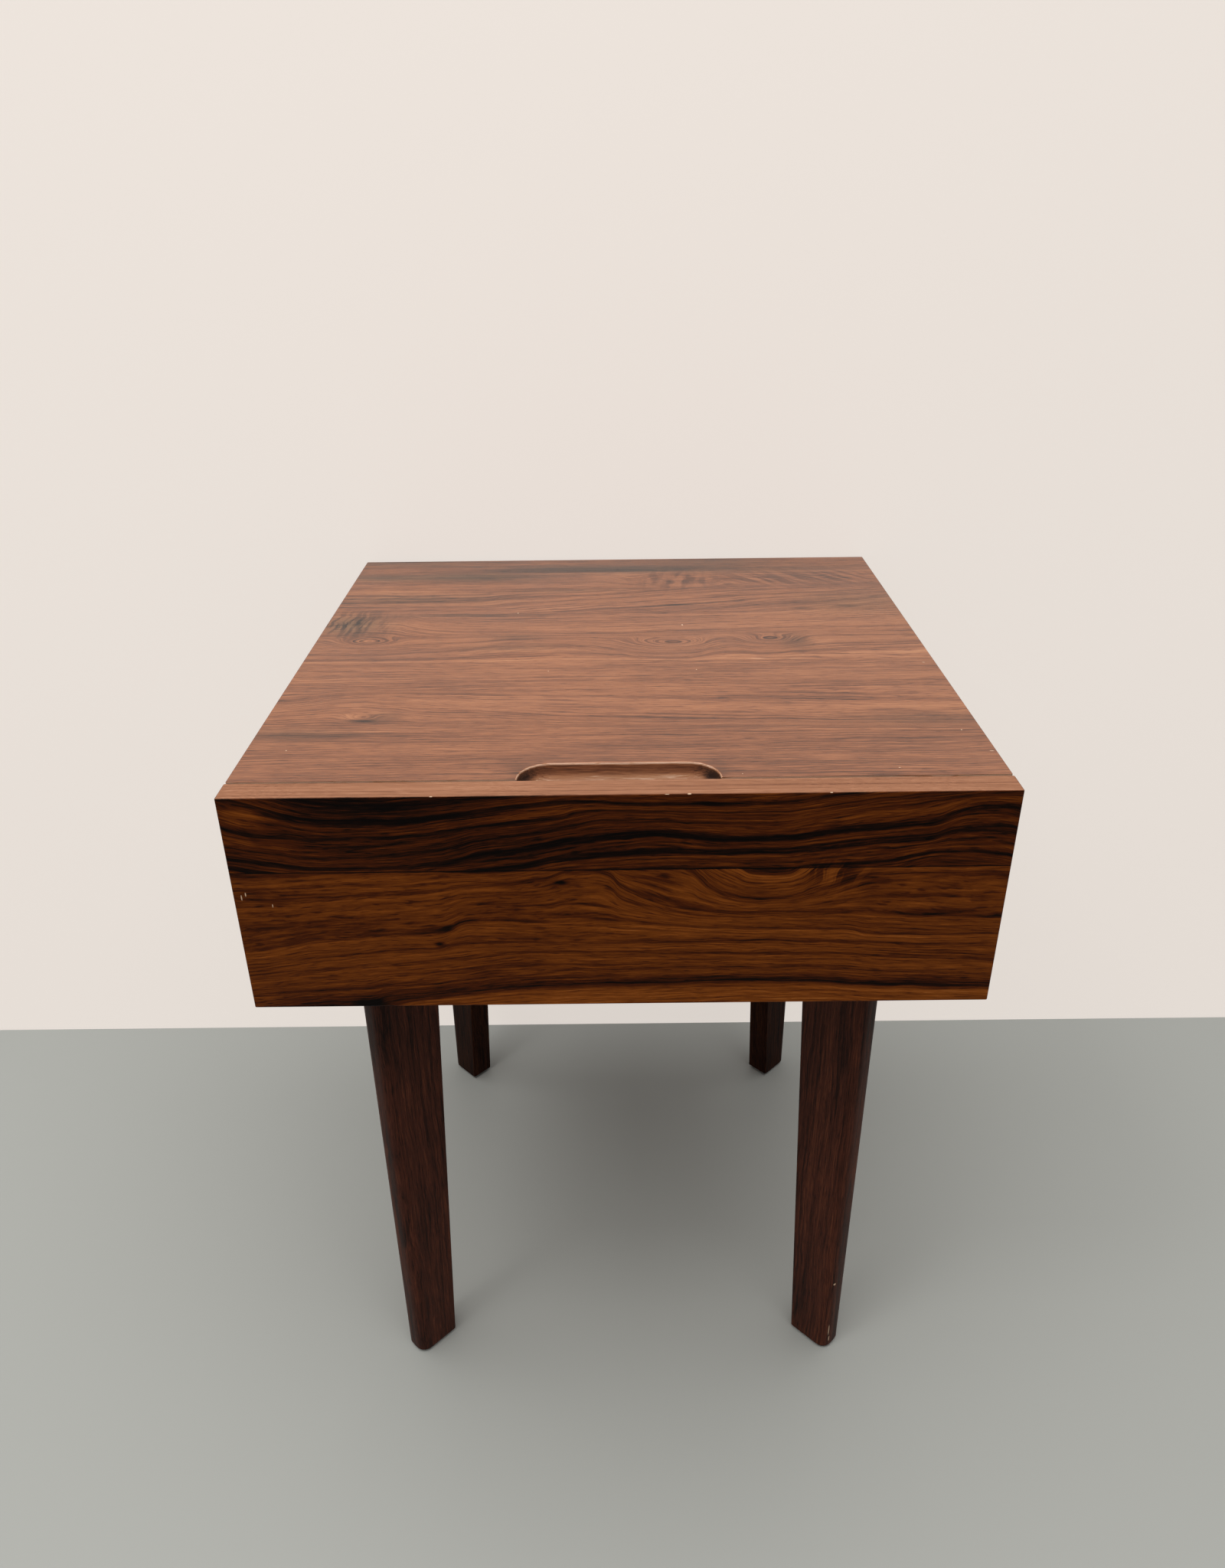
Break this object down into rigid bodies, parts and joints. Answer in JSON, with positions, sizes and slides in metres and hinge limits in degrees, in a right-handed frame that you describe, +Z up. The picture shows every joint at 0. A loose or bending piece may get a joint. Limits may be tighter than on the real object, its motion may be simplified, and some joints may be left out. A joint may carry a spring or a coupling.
{
  "type": "side table",
  "caption": "Square walnut side table with a full-width drawer, opened by a finger pull scooped in the top, on tapered blade legs set on the diagonals.",
  "frame": {"origin": "on the floor at the centre of the table's plan", "axes": "+Z up, -Y toward the person who opens the drawer, +X to that person's right"},
  "size_m": [0.508, 0.508, 0.6096],
  "materials": {
    "walnut_top": "satin oil on solid walnut",
    "walnut_front": "satin oil on solid walnut",
    "walnut_case": "satin oil on solid walnut",
    "walnut_leg": "satin oil on solid walnut",
    "drawer_maple": "clear lacquer on maple",
    "zinc_steel": "bright zinc plate",
    "black_steel": "black oxide",
    "brass": "machined",
    "grey_nylon": "moulded",
    "clear_rubber": "soft and cloudy"
  },
  "bodies": {
    "case": {"top_panel": "walnut_top", "left_side": "walnut_case", "right_side": "walnut_case", "bottom_panel": "walnut_case", "back_panel": "walnut_case", "left_bumper": "clear_rubber", "right_bumper": "clear_rubber", "leg_front_left": "walnut_leg", "leg_front_right": "walnut_leg", "leg_rear_left": "walnut_leg", "leg_rear_right": "walnut_leg", "glide_front_left": "grey_nylon", "glide_front_right": "grey_nylon", "glide_rear_left": "grey_nylon", "glide_rear_right": "grey_nylon", "leg_bolt_front_left_outer": "zinc_steel", "leg_bolt_front_left_inner": "zinc_steel", "leg_bolt_front_right_outer": "zinc_steel", "leg_bolt_front_right_inner": "zinc_steel", "leg_bolt_rear_left_outer": "zinc_steel", "leg_bolt_rear_left_inner": "zinc_steel", "leg_bolt_rear_right_outer": "zinc_steel", "leg_bolt_rear_right_inner": "zinc_steel", "leg_insert_front_left_outer": "brass", "leg_insert_front_left_inner": "brass", "leg_insert_front_right_outer": "brass", "leg_insert_front_right_inner": "brass", "leg_insert_rear_left_outer": "brass", "leg_insert_rear_left_inner": "brass", "leg_insert_rear_right_outer": "brass", "leg_insert_rear_right_inner": "brass", "left_slide_cabinet_member": "zinc_steel", "right_slide_cabinet_member": "zinc_steel", "left_cabinet_screw_front": "zinc_steel", "left_cabinet_screw_rear": "zinc_steel", "right_cabinet_screw_front": "zinc_steel", "right_cabinet_screw_rear": "zinc_steel"},
    "drawer": {"drawer_front": "walnut_front", "drawer_box_front": "drawer_maple", "drawer_box_back": "drawer_maple", "drawer_box_left": "drawer_maple", "drawer_box_right": "drawer_maple", "drawer_bottom": "drawer_maple", "left_slide_drawer_member": "zinc_steel", "right_slide_drawer_member": "zinc_steel", "left_drawer_screw_front": "zinc_steel", "left_drawer_screw_rear": "zinc_steel", "right_drawer_screw_front": "zinc_steel", "right_drawer_screw_rear": "zinc_steel", "front_screw_upper_left": "black_steel", "front_screw_upper_right": "black_steel", "front_screw_lower_left": "black_steel", "front_screw_lower_right": "black_steel"},
    "left_middle_member": {"left_slide_middle_member": "zinc_steel"},
    "right_middle_member": {"right_slide_middle_member": "zinc_steel"},
    "left_outer_cage": {"left_slide_outer_cage": "zinc_steel"},
    "right_outer_cage": {"right_slide_outer_cage": "zinc_steel"},
    "left_inner_cage": {"left_slide_inner_cage": "zinc_steel"},
    "right_inner_cage": {"right_slide_inner_cage": "zinc_steel"}
  },
  "joints": [
    {"name": "drawer_slide", "type": "slide", "parent": "case", "child": "drawer", "axis": [0, -1, 0], "range_m": [0, 0.4]},
    {"name": "left_middle_slide", "type": "slide", "parent": "case", "child": "left_middle_member", "axis": [0, -1, 0], "range_m": [0, 0.2]},
    {"name": "right_middle_slide", "type": "slide", "parent": "case", "child": "right_middle_member", "axis": [0, -1, 0], "range_m": [0, 0.2]},
    {"name": "left_outer_cage_slide", "type": "slide", "parent": "case", "child": "left_outer_cage", "axis": [0, -1, 0], "range_m": [0, 0.1]},
    {"name": "right_outer_cage_slide", "type": "slide", "parent": "case", "child": "right_outer_cage", "axis": [0, -1, 0], "range_m": [0, 0.1]},
    {"name": "left_inner_cage_slide", "type": "slide", "parent": "case", "child": "left_inner_cage", "axis": [0, -1, 0], "range_m": [0, 0.3]},
    {"name": "right_inner_cage_slide", "type": "slide", "parent": "case", "child": "right_inner_cage", "axis": [0, -1, 0], "range_m": [0, 0.3]}
  ],
  "couplings": [
    {"joint": "left_middle_slide", "follows": "drawer_slide", "ratio": 0.5},
    {"joint": "right_middle_slide", "follows": "drawer_slide", "ratio": 0.5},
    {"joint": "left_outer_cage_slide", "follows": "drawer_slide", "ratio": 0.25},
    {"joint": "right_outer_cage_slide", "follows": "drawer_slide", "ratio": 0.25},
    {"joint": "left_inner_cage_slide", "follows": "drawer_slide", "ratio": 0.75},
    {"joint": "right_inner_cage_slide", "follows": "drawer_slide", "ratio": 0.75}
  ]
}
